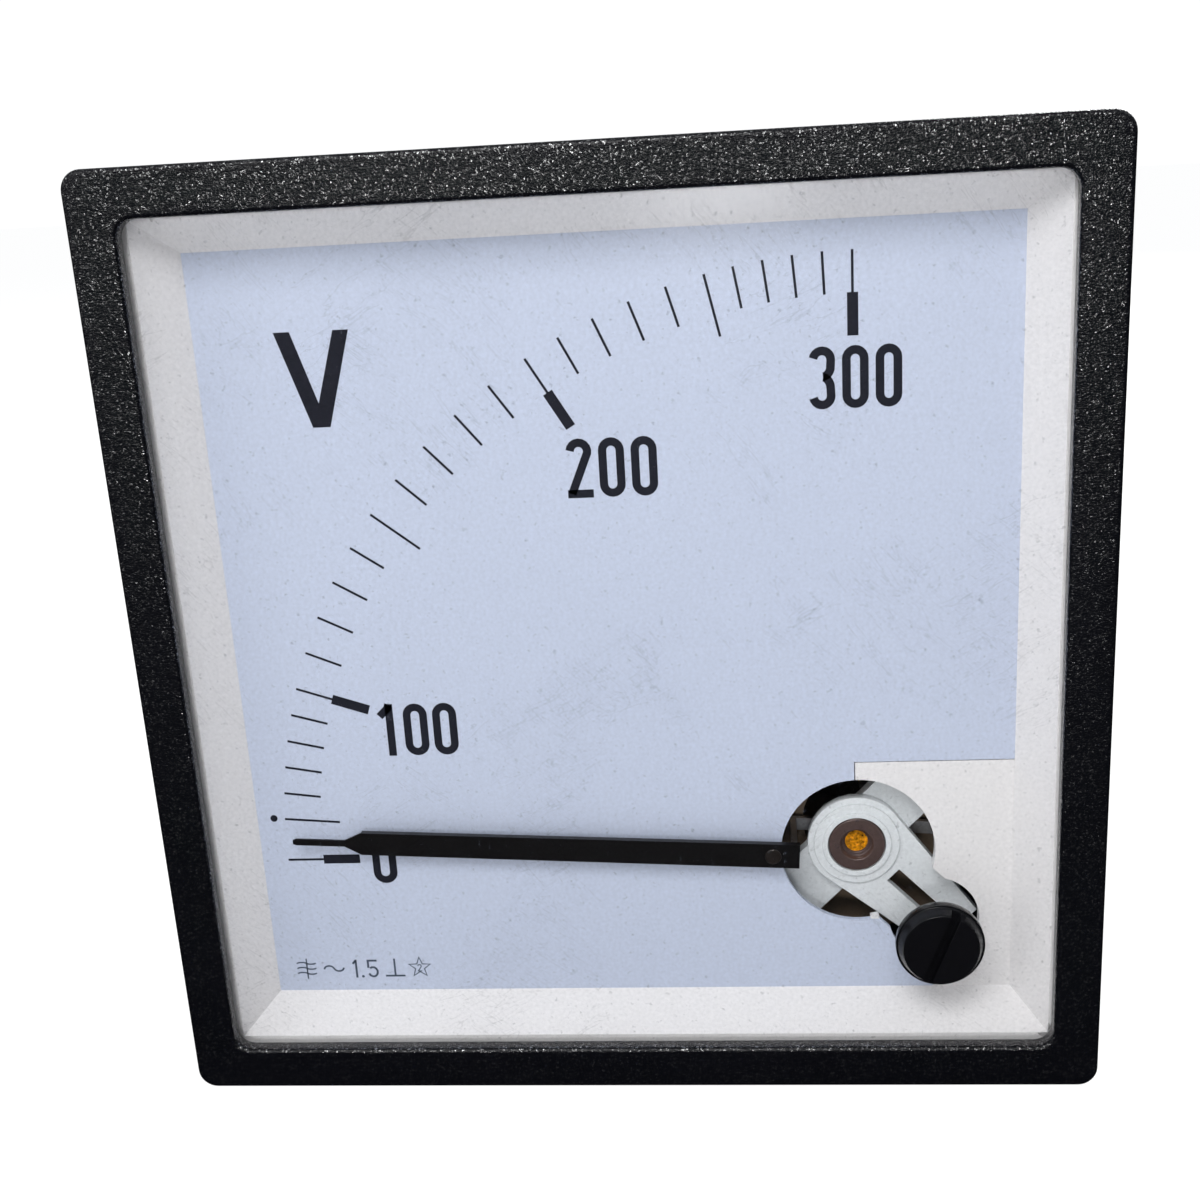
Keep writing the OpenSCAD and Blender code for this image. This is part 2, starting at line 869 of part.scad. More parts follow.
// Two brass studs with a square collar inside the housing.
module terminal_studs() {
  color([0.78, 0.64, 0.34])
  for (s = [-1, 1])
    translate([s * stud_pitch / 2, 0, stud_z])
      union() {
        rod(stud_core_r, floor_y - 5, stud_free_y + 0.1);
        rod(stud_r, stud_free_y, housing_d + 1.2 + stud_out);
        slab(floor_y - 1.6, floor_y)
          square(8, center = true);
      }
}

// Thin nuts that hold the wire ends on the studs inside the housing.
module stud_lock_nuts() {
  color([0.78, 0.64, 0.34])
  for (s = [-1, 1])
    translate([s * stud_pitch / 2, 0, stud_z])
      difference() {
        slab(floor_y - 4.8, floor_y - 1.6)
          circle(nut_r, $fn = 6);
        rod(stud_core_r + fit, floor_y - 9, floor_y);
      }
}

module terminal_washers() {
  color([0.75, 0.75, 0.77])
  for (s = [-1, 1])
    translate([s * stud_pitch / 2, 0, stud_z])
      difference() {
        rod(4.5, housing_d + 1.2, housing_d + 1.2 + washer_t);
        rod(stud_r + fit, housing_d, housing_d + 9);
      }
}

// Hexagon nuts that hold the outside wires on the studs.
module terminal_nuts() {
  y0 = housing_d + 1.2 + washer_t;
  color([0.78, 0.64, 0.34])
  for (s = [-1, 1])
    translate([s * stud_pitch / 2, 0, stud_z])
      difference() {
        slab(y0, y0 + nut_h)
          circle(nut_r, $fn = 6);
        rod(stud_core_r + fit, y0 - 1, y0 + nut_h + 1);
      }
}

// Steel clamp bracket hooked on the housing's two side lugs, drawn for the right side.
module bracket() {
  x0 = waist_w / 2;
  color([0.66, 0.67, 0.69])
  difference() {
    union() {
      translate([x0, bracket_y0, -bracket_half])
        cube([bracket_t, bracket_y1 - bracket_y0, 2 * bracket_half]);
      translate([x0, bracket_y1 - 2, -bracket_half + 2])
        cube([clamp_x + 3.6 - x0, 2, 2 * bracket_half - 4]);
    }
    for (s = [-1, 1])
      translate([x0 - 1, lug_y, s * lug_z])
        rotate([0, 90, 0])
          cylinder(h = 4, r = lug_r + ease);
    translate([clamp_x, 0, 0])
      rod(clamp_screw_r + fit, bracket_y1 - 5, bracket_y1 + 2);
  }
}

// Clamp screw with a flat foot against the panel and a slotted head behind.
module clamp_screw() {
  head_y = clamp_foot_y + clamp_screw_len;
  color([0.7, 0.71, 0.73])
  translate([clamp_x, 0, 0])
    difference() {
      union() {
        rod(2.2, clamp_foot_y, clamp_foot_y + 1.5);
        rod(clamp_screw_r, clamp_foot_y + 1, head_y + 0.5);
        rod(3.5, head_y, head_y + 2.6);
      }
      translate([-5, head_y + 1.4, -0.5])
        cube([10, 3, 1]);
    }
}

module clamp_bracket_right() {
  bracket();
}

module clamp_bracket_left() {
  mirror([1, 0, 0])
    bracket();
}

module clamp_screw_right() {
  clamp_screw();
}

module clamp_screw_left() {
  mirror([1, 0, 0])
    clamp_screw();
}

bezel_frame();
window_pane();
dial_surround();
dial_plate();
pointer();
pointer_rivet();
pointer_carrier();
balance_weight();
spindle();
moving_iron();
hairspring();
zero_adjuster();
zero_lever();
front_bearing_screw();
front_jewel();
bearing_bridge();
bridge_screws();
coil_bobbin();
coil_winding();
coil_tags();
fixed_iron();
rear_bearing_screw();
rear_jewel();
mounting_plate();
plate_screws();
housing();
series_resistor();
wire_stud_resistor();
wire_resistor_coil();
wire_coil_stud();
terminal_studs();
stud_lock_nuts();
terminal_washers();
terminal_nuts();
clamp_bracket_left();
clamp_bracket_right();
clamp_screw_left();
clamp_screw_right();
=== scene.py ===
# %% [markdown]
# # Analog panel meter
# The meter's parts come from the CAD frame. This script gives them soft edges and finishes,
# prints the dial, and sets the light and the camera.

import json
import math

import bmesh
import bpy
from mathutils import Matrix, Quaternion, Vector

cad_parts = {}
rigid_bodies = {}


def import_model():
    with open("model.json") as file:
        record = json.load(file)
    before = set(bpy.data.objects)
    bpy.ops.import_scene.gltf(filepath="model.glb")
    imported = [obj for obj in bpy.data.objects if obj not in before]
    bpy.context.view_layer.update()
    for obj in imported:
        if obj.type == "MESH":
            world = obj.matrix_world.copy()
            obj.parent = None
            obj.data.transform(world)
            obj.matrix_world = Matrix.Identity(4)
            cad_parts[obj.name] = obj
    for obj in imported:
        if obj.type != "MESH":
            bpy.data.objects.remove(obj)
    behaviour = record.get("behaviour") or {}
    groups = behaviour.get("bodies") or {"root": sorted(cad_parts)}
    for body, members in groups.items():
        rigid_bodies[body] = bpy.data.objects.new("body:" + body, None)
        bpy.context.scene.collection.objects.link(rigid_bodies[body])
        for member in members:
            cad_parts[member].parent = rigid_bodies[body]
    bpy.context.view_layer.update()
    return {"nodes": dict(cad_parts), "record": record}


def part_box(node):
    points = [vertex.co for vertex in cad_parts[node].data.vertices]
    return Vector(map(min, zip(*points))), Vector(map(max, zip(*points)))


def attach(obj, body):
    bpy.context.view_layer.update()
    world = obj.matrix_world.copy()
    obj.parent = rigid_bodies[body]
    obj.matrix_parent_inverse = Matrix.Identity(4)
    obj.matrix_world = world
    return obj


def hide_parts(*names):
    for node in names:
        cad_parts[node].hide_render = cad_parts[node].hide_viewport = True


bpy.ops.object.select_all(action="SELECT")
bpy.ops.object.delete()
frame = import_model()
MM = 0.001
body_of = {n: b for b, ns in frame["record"]["behaviour"]["bodies"].items() for n in ns}
slot_of = {s["node"]: s["material_slot"] for s in frame["record"]["subparts"]}
print(len(frame["nodes"]), "parts")

# %% [markdown]
# ## Materials
# One node group makes the slow and fine mottling that every moulded or metal surface has.
# It could be a texture per material, but one group keeps the finishes alike. On the amber jewel its wide
# spread is painted light: its bright and dark patches are painted highlights and painted shade.


# %%
def socket(group, name, kind, way="INPUT", value=None):
    s = group.interface.new_socket(name=name, in_out=way, socket_type=kind)
    if value is not None:
        s.default_value = value
    return s


def make_mottle():
    g = bpy.data.node_groups.new("Mottle", "ShaderNodeTree")
    socket(g, "Colour", "NodeSocketColor")
    socket(g, "Spread", "NodeSocketFloat", value=0.05)
    socket(g, "Coarse", "NodeSocketFloat", value=120.0)
    socket(g, "Fine", "NodeSocketFloat", value=4000.0)
    socket(g, "Colour", "NodeSocketColor", "OUTPUT")
    socket(g, "Fine", "NodeSocketFloat", "OUTPUT")
    n, l = g.nodes, g.links
    inp, out = n.new("NodeGroupInput"), n.new("NodeGroupOutput")
    pos = n.new("ShaderNodeTexCoord")
    coarse, fine = n.new("ShaderNodeTexNoise"), n.new("ShaderNodeTexNoise")
    for tex, key in ((coarse, "Coarse"), (fine, "Fine")):
        l.new(pos.outputs["Object"], tex.inputs["Vector"])
        l.new(inp.outputs[key], tex.inputs["Scale"])
        tex.inputs["Detail"].default_value = 3.0
    add = n.new("ShaderNodeMath")
    add.operation = "ADD"
    l.new(coarse.outputs["Fac"], add.inputs[0])
    l.new(fine.outputs["Fac"], add.inputs[1])
    centred = n.new("ShaderNodeMath")
    centred.operation = "MULTIPLY_ADD"
    centred.inputs[1].default_value = 1.0
    centred.inputs[2].default_value = -1.0
    l.new(add.outputs[0], centred.inputs[0])
    scaled = n.new("ShaderNodeMath")
    scaled.operation = "MULTIPLY_ADD"
    scaled.inputs[2].default_value = 1.0
    l.new(centred.outputs[0], scaled.inputs[0])
    l.new(inp.outputs["Spread"], scaled.inputs[1])
    tint = n.new("ShaderNodeVectorMath")
    tint.operation = "SCALE"
    l.new(inp.outputs["Colour"], tint.inputs[0])
    l.new(scaled.outputs[0], tint.inputs["Scale"])
    l.new(tint.outputs[0], out.inputs["Colour"])
    l.new(fine.outputs["Fac"], out.inputs["Fine"])
    return g


mottle = make_mottle()


def finish_of(name, colour, rough, metal=0.0, spread=0.05, bump=0.02, fine=4000.0, coarse=120.0,
              coat=0.0, spec=0.5):
    m = bpy.data.materials.new(name)
    m.use_nodes = True
    n, l = m.node_tree.nodes, m.node_tree.links
    bsdf = n["Principled BSDF"]
    g = n.new("ShaderNodeGroup")
    g.node_tree = mottle
    g.inputs["Colour"].default_value = (*colour, 1.0)
    g.inputs["Spread"].default_value = spread
    g.inputs["Coarse"].default_value = coarse
    g.inputs["Fine"].default_value = fine
    l.new(g.outputs["Colour"], bsdf.inputs["Base Color"])
    bsdf.inputs["Roughness"].default_value = rough
    bsdf.inputs["Metallic"].default_value = metal
    bsdf.inputs["Coat Weight"].default_value = coat
    bsdf.inputs["Specular IOR Level"].default_value = spec
    if bump:
        b = n.new("ShaderNodeBump")
        b.inputs["Strength"].default_value = 1.0
        b.inputs["Distance"].default_value = bump * MM
        l.new(g.outputs["Fine"], b.inputs["Height"])
        l.new(b.outputs["Normal"], bsdf.inputs["Normal"])
    return m


MATERIALS = {
    "cream_plastic": finish_of(
        "cream plastic", (0.80, 0.785, 0.79), 0.42,
        spread=0.03, bump=0.003, coarse=60
    ),
    "dial_white": finish_of(
        "dial print ground", (0.54, 0.595, 0.735), 0.6,
        spread=0.035, bump=0.004, coarse=70, fine=2500
    ),
    "black_pointer": finish_of(
        "pointer black", (0.005, 0.0045, 0.005), 0.34,
        spread=0.4, bump=0.003, coarse=500, spec=0.3
    ),
    "bright_metal": finish_of("nickel", (0.62, 0.6, 0.58), 0.28, 1.0, bump=0.003),
    "aluminium": finish_of("aluminium", (0.62, 0.62, 0.63), 0.35, 1.0, bump=0.003),
    "brass": finish_of("brass", (0.68, 0.47, 0.19), 0.3, 1.0, bump=0.003),
    "steel": finish_of(
        "zinc plated steel", (0.5, 0.5, 0.49), 0.35, 1.0, bump=0.004, coarse=300,
        spread=0.12
    ),
    "soft_iron": finish_of("soft iron", (0.2, 0.2, 0.2), 0.45, 1.0),
    "spring_bronze": finish_of("spring bronze", (0.55, 0.4, 0.22), 0.3, 1.0),
    "black_gloss": finish_of(
        "black gloss plastic", (0.0035, 0.0035, 0.0045), 0.17,
        spread=0.3, bump=0.0008, fine=1500, spec=0.35
    ),
    "white_plastic": finish_of(
        "white plastic", (0.72, 0.75, 0.77), 0.38,
        spread=0.04, bump=0.004, coarse=300
    ),
    "brown_screw": finish_of(
        "brown screw", (0.11, 0.072, 0.066), 0.34, 0.35,
        spread=0.25, bump=0.01, coarse=900, fine=9000
    ),
    # The jewel's strong colour spread is painted light: bright patches are a painted highlight and dark ones
    # painted shade in its cup.
    "amber_jewel": finish_of(
        "amber jewel with painted highlight and shade", (0.62, 0.24, 0.004), 0.12,
        spread=2.6, bump=0.0, coarse=2200, coat=0.6
    ),
    "tan_plastic": finish_of("tan plastic", (0.27, 0.20, 0.14), 0.5, spread=0.25, coarse=400),
    "copper": finish_of("enamelled copper", (0.30, 0.11, 0.04), 0.3, 0.7, spread=0.3, coarse=400),
    "tinned_tag": finish_of("tinned tag", (0.42, 0.31, 0.21), 0.4, 0.6, spread=0.3, coarse=800),
    "housing_black": finish_of(
        "housing plastic", (0.022, 0.022, 0.024), 0.5,
        spread=0.15, bump=0.02, fine=2500
    ),
    "resistor_green": finish_of("resistor enamel", (0.09, 0.2, 0.11), 0.3, spread=0.1),
    "wire_red": finish_of("red insulation", (0.4, 0.02, 0.02), 0.45, spread=0.1),
    "wire_black": finish_of("black insulation", (0.012, 0.012, 0.012), 0.45, spread=0.2),
    "ink": finish_of(
        "black ink", (0.012, 0.013, 0.022), 0.6,
        spread=0.3, bump=0.0, coarse=900, spec=0.15
    ),
    "fine_ink": finish_of(
        "fine grey ink", (0.07, 0.09, 0.13), 0.6,
        spread=0.5, bump=0.0, coarse=1800, spec=0.15
    ),
    "rivet_brown": finish_of("browned rivet", (0.022, 0.017, 0.015), 0.3, 0.3, spread=0.3, coarse=900),
}


# %% [markdown]
# The frame is spark eroded: a fine grain with many tiny bright facets.
# The window is thin clear plastic, with dust and fine scratches that catch the light.


# %%
def frame_finish():
    m = finish_of(
        "spark eroded black", (0.0022, 0.0024, 0.0038), 0.25, spread=0.35, bump=0.0, fine=5200, coarse=300
    )
    n, l = m.node_tree.nodes, m.node_tree.links
    bsdf = n["Principled BSDF"]
    pos = n.new("ShaderNodeTexCoord")
    grain = n.new("ShaderNodeTexVoronoi")
    grain.inputs["Scale"].default_value = 6200.0
    l.new(pos.outputs["Object"], grain.inputs["Vector"])
    wide = n.new("ShaderNodeTexNoise")
    wide.inputs["Scale"].default_value = 2400.0
    wide.inputs["Detail"].default_value = 4.0
    l.new(pos.outputs["Object"], wide.inputs["Vector"])
    add = n.new("ShaderNodeMath")
    add.operation = "ADD"
    l.new(grain.outputs["Distance"], add.inputs[0])
    l.new(wide.outputs["Fac"], add.inputs[1])
    b = n.new("ShaderNodeBump")
    b.inputs["Strength"].default_value = 1.0
    b.inputs["Distance"].default_value = 0.03 * MM
    l.new(add.outputs[0], b.inputs["Height"])
    l.new(b.outputs["Normal"], bsdf.inputs["Normal"])
    facet = n.new("ShaderNodeTexVoronoi")
    facet.inputs["Scale"].default_value = 6400.0
    l.new(pos.outputs["Object"], facet.inputs["Vector"])
    pick, glint = n.new("ShaderNodeSeparateColor"), n.new("ShaderNodeMath")
    l.new(facet.outputs["Color"], pick.inputs[0])
    glint.operation = "POWER"
    glint.inputs[1].default_value = 10.0
    l.new(pick.outputs[0], glint.inputs[0])
    level = n.new("ShaderNodeMapRange")
    level.inputs["To Min"].default_value = 0.18
    level.inputs["To Max"].default_value = 3.4
    l.new(glint.outputs[0], level.inputs["Value"])
    l.new(level.outputs["Result"], bsdf.inputs["Specular IOR Level"])
    return m


def pane_finish():
    m = bpy.data.materials.new("clear pane")
    m.use_nodes = True
    n, l = m.node_tree.nodes, m.node_tree.links
    n.remove(n["Principled BSDF"])
    clear = n.new("ShaderNodeBsdfTransparent")
    gloss = n.new("ShaderNodeBsdfGlossy")
    dust = n.new("ShaderNodeBsdfDiffuse")
    gloss.inputs["Roughness"].default_value = 0.13
    dust.inputs["Color"].default_value = (0.09, 0.10, 0.13, 1)
    fres = n.new("ShaderNodeFresnel")
    fres.inputs["IOR"].default_value = 1.33
    first, second = n.new("ShaderNodeMixShader"), n.new("ShaderNodeMixShader")
    side, outer = n.new("ShaderNodeNewGeometry"), n.new("ShaderNodeMath")
    outer.operation = "SUBTRACT"
    outer.use_clamp = True
    l.new(fres.outputs[0], outer.inputs[0])
    l.new(side.outputs["Backfacing"], outer.inputs[1])
    l.new(outer.outputs[0], first.inputs[0])
    l.new(clear.outputs[0], first.inputs[1])
    l.new(gloss.outputs[0], first.inputs[2])
    pos = n.new("ShaderNodeTexCoord")
    specks = n.new("ShaderNodeTexNoise")
    specks.inputs["Scale"].default_value = 1500.0
    specks.inputs["Detail"].default_value = 2.0
    l.new(pos.outputs["Object"], specks.inputs["Vector"])
    few = n.new("ShaderNodeMapRange")
    few.inputs["From Min"].default_value = 0.66
    few.inputs["From Max"].default_value = 0.76
    few.inputs["To Max"].default_value = 0.24
    l.new(specks.outputs["Fac"], few.inputs["Value"])
    l.new(few.outputs["Result"], second.inputs[0])

    def lines(turn, density, patch):
        lie = n.new("ShaderNodeMapping")
        lie.vector_type = "TEXTURE"
        lie.inputs["Rotation"].default_value = (0, math.radians(turn), 0)
        lie.inputs["Scale"].default_value = (1 / 110.0, 1 / 110.0, 1 / density)
        l.new(pos.outputs["Object"], lie.inputs["Vector"])
        tex, where = n.new("ShaderNodeTexNoise"), n.new("ShaderNodeTexNoise")
        tex.inputs["Scale"].default_value = 1.0
        tex.inputs["Detail"].default_value = 2.0
        l.new(lie.outputs[0], tex.inputs["Vector"])
        where.inputs["Scale"].default_value = patch
        l.new(pos.outputs["Object"], where.inputs["Vector"])
        off, near, show, both = (n.new("ShaderNodeMath") for k in range(4))
        off.operation, off.inputs[1].default_value = "SUBTRACT", 0.5
        l.new(tex.outputs["Fac"], off.inputs[0])
        near.operation, near.inputs[1].default_value, near.inputs[2].default_value = "COMPARE", 0.0, 0.006
        l.new(off.outputs[0], near.inputs[0])
        show.operation, show.inputs[1].default_value = "GREATER_THAN", 0.58
        l.new(where.outputs["Fac"], show.inputs[0])
        both.operation = "MULTIPLY"
        l.new(near.outputs[0], both.inputs[0])
        l.new(show.outputs[0], both.inputs[1])
        return both.outputs[0]

    grain = n.new("ShaderNodeTexNoise")
    grain.inputs["Scale"].default_value = 2600.0
    grain.inputs["Detail"].default_value = 3.0
    l.new(pos.outputs["Object"], grain.inputs["Vector"])
    sheet = n.new("ShaderNodeMapRange")
    sheet.inputs["From Min"].default_value = 0.3
    sheet.inputs["From Max"].default_value = 0.7
    sheet.inputs["To Min"].default_value = 0.93
    sheet.inputs["To Max"].default_value = 1.0
    l.new(grain.outputs["Fac"], sheet.inputs["Value"])
    level = sheet.outputs["Result"]
    for turn, density, patch in ((38.0, 1300.0, 45.0), (52.0, 900.0, 60.0), (-30.0, 700.0, 38.0)):
        cut = n.new("ShaderNodeMath")
        cut.operation, cut.inputs[1].default_value = "MULTIPLY_ADD", -0.09
        l.new(lines(turn, density, patch), cut.inputs[0])
        l.new(level, cut.inputs[2])
        level = cut.outputs[0]
    l.new(level, clear.inputs["Color"])
    l.new(first.outputs[0], second.inputs[1])
    l.new(dust.outputs[0], second.inputs[2])
    l.new(second.outputs[0], n["Material Output"].inputs["Surface"])
    return m


MATERIALS["black_frame"] = frame_finish()
MATERIALS["clear_pane"] = pane_finish()

# %% [markdown]
# ## Soft edges
# Real mouldings and machined parts have small radii. Each part is copied from its CAD solid and
# its sharp edges get a narrow bevel; the flat faces stay flat because their normals are weighted.


# %%
def place(obj, body, slot, *nodes):
    obj.data.materials.clear()
    obj.data.materials.append(MATERIALS[slot])
    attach(obj, body)
    if nodes:
        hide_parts(*nodes)
    return obj


def applied(obj):
    flat = bpy.data.meshes.new_from_object(obj.evaluated_get(bpy.context.evaluated_depsgraph_get()))
    obj.modifiers.clear()
    obj.data = flat
    return obj


def soften(node, width, segments=2):
    src = frame["nodes"][node]
    me = src.data.copy()
    bm = bmesh.new()
    bm.from_mesh(me)
    bmesh.ops.remove_doubles(bm, verts=bm.verts, dist=1e-6)
    bmesh.ops.dissolve_limit(bm, angle_limit=math.radians(1), verts=bm.verts, edges=bm.edges)
    bm.to_mesh(me)
    bm.free()
    obj = bpy.data.objects.new(node + "_shown", me)
    bpy.context.scene.collection.objects.link(obj)
    bev = obj.modifiers.new("edges", "BEVEL")
    bev.width = width * MM
    bev.segments = segments
    bev.limit_method = "ANGLE"
    bev.angle_limit = math.radians(40)
    bev.use_clamp_overlap = True
    bev.harden_normals = False
    applied(obj)
    for p in obj.data.polygons:
        p.use_smooth = True
    wn = obj.modifiers.new("flat faces", "WEIGHTED_NORMAL")
    wn.keep_sharp = True
    wn.weight = 80
    applied(obj)
    return place(obj, body_of[node], slot_of[node], node)


SOFT = {
    "dial_surround": 0.12, "zero_adjuster": 0.22, "zero_lever": 0.1, "front_bearing_screw": 0.16,
    "bearing_bridge": 0.15, "pointer_rivet": 0.12, "pointer_carrier": 0.05, "housing": 0.35,
    "clamp_bracket_left": 0.2, "clamp_bracket_right": 0.2, "clamp_screw_left": 0.2, "clamp_screw_right": 0.2,
    "terminal_nuts": 0.2, "terminal_studs": 0.2, "terminal_washers": 0.1, "balance_weight": 0.1,
}
for node, width in SOFT.items():
    soften(node, width)
bpy.data.objects["pointer_rivet_shown"].data.materials[0] = MATERIALS["rivet_brown"]
for node, obj in frame["nodes"].items():
    if not obj.hide_render:
        obj.data.materials.clear()
        obj.data.materials.append(MATERIALS[slot_of[node]])
print(len(SOFT), "parts softened")

# %% [markdown]
# ## The frame
# The front frame is a stack of rounded square loops joined in a ring, so its outer and inner
# edges get true radii that a bevel on the CAD solid could not give so evenly.


# %%
def square_loop(bm, half, r, y, n=8):
    out = []
    for k in range(4):
        for i in range(n + 1):
            a = math.radians(k * 90 + i * 90 / n)
            cx = (half - r) * (1 if k in (0, 3) else -1)
            cz = (half - r) * (1 if k in (0, 1) else -1)
            out.append(bm.verts.new(Vector((cx + r * math.cos(a), y, cz + r * math.sin(a))) * MM))
    return out


def ring_mesh(name, stations):
    bm = bmesh.new()
    loops = [square_loop(bm, *s) for s in stations]
    loops.append(loops[0])
    for a, b in zip(loops, loops[1:]):
        for i in range(len(a)):
            j = (i + 1) % len(a)
            bm.faces.new((a[i], a[j], b[j], b[i]))
    bmesh.ops.recalc_face_normals(bm, faces=bm.faces)
    me = bpy.data.meshes.new(name)
    bm.to_mesh(me)
    bm.free()
    for p in me.polygons:
        p.use_smooth = True
    obj = bpy.data.objects.new(name, me)
    bpy.context.scene.collection.objects.link(obj)
    return obj


def arc(h0, y0, r, a0, a1, cr, sign, n=5):
    out = []
    for i in range(n + 1):
        a = a0 + (a1 - a0) * i / n
        reach = r * math.cos(math.radians(a))
        out.append((h0 + reach, cr + sign * reach, y0 + r * math.sin(math.radians(a))))
    return out


lo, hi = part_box("bezel_frame")
half, back, front = hi.x / MM, hi.y / MM, lo.y / MM
plo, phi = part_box("window_pane")
seat, seat_back = phi.x / MM + 0.1, phi.y / MM
lip = plo.y / MM
inner = 43.4
socket_half = 45.5
stations = [(half, 2.0, back), (half, 2.0, front + 0.45)]
stations += [(h, c, y) for h, c, y in arc(half - 0.45, front + 0.45, 0.45, 0, -90, 1.55, 1)]
stations += [(half - 1.2, 1.2, front)]
stations += [(inner + 0.7, 2.4, front)]
stations += [(h, c, y) for h, c, y in arc(inner + 0.4, front + 0.4, 0.4, -90, -180, 2.2, 1)]
stations += [(inner, 1.8, lip), (seat, 1.0, lip), (seat, 1.0, seat_back)]
stations += [(socket_half, 1.0, seat_back), (socket_half, 1.0, back)]
bezel = ring_mesh("bezel", stations)
wn = bezel.modifiers.new("flat faces", "WEIGHTED_NORMAL")
applied(bezel)
place(bezel, "meter", "black_frame", "bezel_frame")
print("frame", len(bezel.data.polygons), "faces")

# %% [markdown]
# ## The dial print
# Every mark is a thin ribbon of ink laid just above the dial sheet. The scale is not even: a
# moving-iron meter crowds its lowest values. The ticks between two numbers are evenly spaced, so
# one Geometry Nodes group lays each section from its start and end angle.

# %%
dial_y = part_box("dial_plate")[0].y
INK_Y = dial_y - 0.012 * MM
PX, PZ = 24 * MM, -24 * MM


def tick_group():
    g = bpy.data.node_groups.new("Tick section", "GeometryNodeTree")
    socket(g, "Geometry", "NodeSocketGeometry", "OUTPUT")
    socket(g, "Count", "NodeSocketInt", value=5)
    sizes = {"Start angle": 0.0, "Step angle": 0.05, "Inner radius": 0.057, "Outer radius": 0.061,
             "Width": 0.00025}
    for name, value in sizes.items():
        socket(g, name, "NodeSocketFloat", value=value)
    socket(g, "Ink", "NodeSocketMaterial")
    n, l = g.nodes, g.links
    inp, out = n.new("NodeGroupInput"), n.new("NodeGroupOutput")
    pts = n.new("GeometryNodePoints")
    l.new(inp.outputs["Count"], pts.inputs["Count"])
    idx = n.new("GeometryNodeInputIndex")

    def calc(op, a, b, c=None):
        m = n.new("ShaderNodeMath")
        m.operation = op
        for k, v in enumerate((a, b, c)):
            if v is None:
                continue
            if isinstance(v, (int, float)):
                m.inputs[k].default_value = v
            else:
                l.new(v, m.inputs[k])
        return m.outputs[0]

    angle = calc("MULTIPLY_ADD", idx.outputs[0], inp.outputs["Step angle"], inp.outputs["Start angle"])
    mid = calc("MULTIPLY", calc("ADD", inp.outputs["Inner radius"], inp.outputs["Outer radius"]), 0.5)
    length = calc("SUBTRACT", inp.outputs["Outer radius"], inp.outputs["Inner radius"])
    where = n.new("ShaderNodeCombineXYZ")
    l.new(calc("MULTIPLY_ADD", calc("COSINE", angle, 0), mid, PX), where.inputs[0])
    where.inputs[1].default_value = INK_Y
    l.new(calc("MULTIPLY_ADD", calc("SINE", angle, 0), mid, PZ), where.inputs[2])
    setpos = n.new("GeometryNodeSetPosition")
    l.new(pts.outputs[0], setpos.inputs["Geometry"])
    l.new(where.outputs[0], setpos.inputs["Position"])
    grid = n.new("GeometryNodeMeshGrid")
    l.new(length, grid.inputs["Size X"])
    l.new(inp.outputs["Width"], grid.inputs["Size Y"])
    grid.inputs["Vertices X"].default_value = 2
    grid.inputs["Vertices Y"].default_value = 2
    turn = n.new("ShaderNodeCombineXYZ")
    turn.inputs[0].default_value = math.pi / 2
    l.new(calc("MULTIPLY", angle, -1.0), turn.inputs[1])
    inst = n.new("GeometryNodeInstanceOnPoints")
    l.new(setpos.outputs[0], inst.inputs["Points"])
    l.new(grid.outputs["Mesh"], inst.inputs["Instance"])
    l.new(turn.outputs[0], inst.inputs["Rotation"])
    real = n.new("GeometryNodeRealizeInstances")
    l.new(inst.outputs[0], real.inputs[0])
    mat = n.new("GeometryNodeSetMaterial")
    l.new(real.outputs[0], mat.inputs["Geometry"])
    l.new(inp.outputs["Ink"], mat.inputs["Material"])
    l.new(mat.outputs[0], out.inputs["Geometry"])
    return g


TICKS = tick_group()


def tick_section(name, count, start_deg, step_deg, inner_r, outer_r, width):
    obj = bpy.data.objects.new(name, bpy.data.meshes.new(name))
    bpy.context.scene.collection.objects.link(obj)
    mod = obj.modifiers.new("ticks", "NODES")
    mod.node_group = TICKS
    ids = {s.name: s.identifier for s in TICKS.interface.items_tree if s.in_out == "INPUT"}
    values = {"Count": count, "Start angle": math.radians(start_deg), "Step angle": math.radians(step_deg),
              "Inner radius": inner_r * MM, "Outer radius": outer_r * MM, "Width": width * MM,
              "Ink": MATERIALS["ink"]}
    for key, v in values.items():
        mod[ids[key]] = v
    obj.update_tag()
    bpy.context.view_layer.update()
    return applied(obj)


SCALE = {0: 180.0, 50: 175.5, 100: 161.4, 150: 141.9, 200: 120.9, 250: 103.1, 300: 90.0}
R_OUT, R_MINOR, R_LONG, R_THICK0, R_THICK1 = 61.1, 57.15, 55.1, 53.2, 57.2
marks = []
for low in (50, 100, 150, 200, 250):
    a, b = SCALE[low], SCALE[low + 50]
    step = (b - a) / 5
    marks.append(tick_section(f"ticks_{low}", 4, a + step, step, R_MINOR, R_OUT, 0.25))
for v, a in SCALE.items():
    if v % 100:
        marks.append(tick_section(f"long_tick_{v}", 1, a, 0, R_LONG, R_OUT, 0.25))
    else:
        marks.append(tick_section(f"main_tick_{v}", 1, a, 0, R_MINOR, R_OUT, 0.25))
        marks.append(tick_section(f"thick_tick_{v}", 1, a, 0, R_THICK0, R_THICK1, 1.04))
print(len(marks), "groups of ticks")


# %% [markdown]
# Figures and symbols are drawn with a pen of even width, the way dial lettering is engraved.
# Each glyph is a list of strokes; a stroke is a centre line that this function widens.


